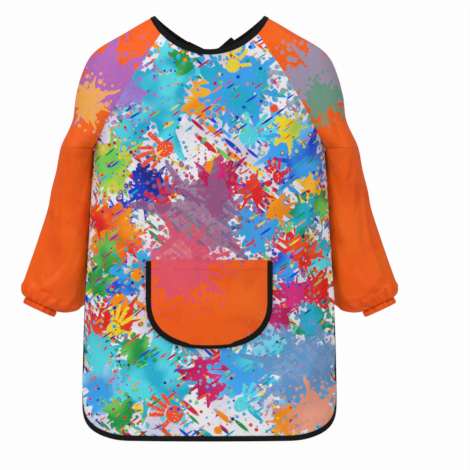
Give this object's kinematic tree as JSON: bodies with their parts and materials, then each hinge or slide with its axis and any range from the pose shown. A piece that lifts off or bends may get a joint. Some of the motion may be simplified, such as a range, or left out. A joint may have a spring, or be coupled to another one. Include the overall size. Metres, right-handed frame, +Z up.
{
  "type": "artist smock apron",
  "caption": "Child's long-sleeved artist smock apron with open back, bound edges, elasticated cuffs, front patch pocket and hook-and-loop nape closure.",
  "frame": {"origin": "middle of the neck opening, level with the neck points where the shoulder ridges meet the neck binding", "axes": "+Z up, the smock hangs down along -Z; the wearer faces -Y; +X is the wearer's left"},
  "size_m": [0.5408, 0.1302, 0.6017],
  "materials": {
    "printed_cloth": "coated polyester with an all-over paint splat print, satin",
    "orange_cloth": "plain coated polyester, satin",
    "binding_tape": "woven bias tape, matt",
    "elastic": "braided elastic, matt",
    "label": "folded satin ribbon, blank",
    "closure_tape": "woven tape, matt",
    "closure_pile": "hook and loop pile, matt"
  },
  "bodies": {
    "garment": {"front_panel": "printed_cloth", "hem_binding": "binding_tape", "neck_binding": "binding_tape", "left_shoulder": "orange_cloth", "right_shoulder": "orange_cloth", "pocket_panel": "orange_cloth", "pocket_hem": "orange_cloth", "pocket_binding": "binding_tape", "side_label": "label"},
    "left_arm": {"left_sleeve": "orange_cloth", "left_cuff_casing": "orange_cloth", "left_cuff_elastic": "elastic"},
    "right_arm": {"right_sleeve": "orange_cloth", "right_cuff_casing": "orange_cloth", "right_cuff_elastic": "elastic"},
    "left_flap": {"left_back_flap": "printed_cloth", "left_flap_binding": "binding_tape", "left_flap_neck_binding": "binding_tape"},
    "right_flap": {"right_back_flap": "printed_cloth", "right_flap_binding": "binding_tape", "right_flap_neck_binding": "binding_tape", "loop_tab": "closure_tape", "loop_tape": "closure_pile"},
    "hook_closure": {"hook_tab": "closure_tape", "hook_tape": "closure_pile"}
  },
  "joints": [
    {"name": "left_arm_raise", "type": "hinge", "parent": "garment", "child": "left_arm", "pos_m": [0.2125, 0.003, -0.1876], "axis": [0, -1, 0], "range_deg": [0, 50]},
    {"name": "right_arm_raise", "type": "hinge", "parent": "garment", "child": "right_arm", "pos_m": [-0.2125, 0.003, -0.1876], "axis": [0, 1, 0], "range_deg": [0, 50]},
    {"name": "left_flap_open", "type": "hinge", "parent": "garment", "child": "left_flap", "pos_m": [0.158, 0.032, -0.17], "axis": [0.0456, -0.0091, -0.9989], "range_deg": [0, 35]},
    {"name": "right_flap_open", "type": "hinge", "parent": "garment", "child": "right_flap", "pos_m": [-0.158, 0.032, -0.17], "axis": [0.0456, 0.0091, 0.9989], "range_deg": [0, 35]},
    {"name": "hook_tab_fold", "type": "hinge", "parent": "left_flap", "child": "hook_closure", "pos_m": [0.0075, 0.051, -0.057], "axis": [-0.6561, 0, 0.7547], "range_deg": [0, 115]}
  ]
}
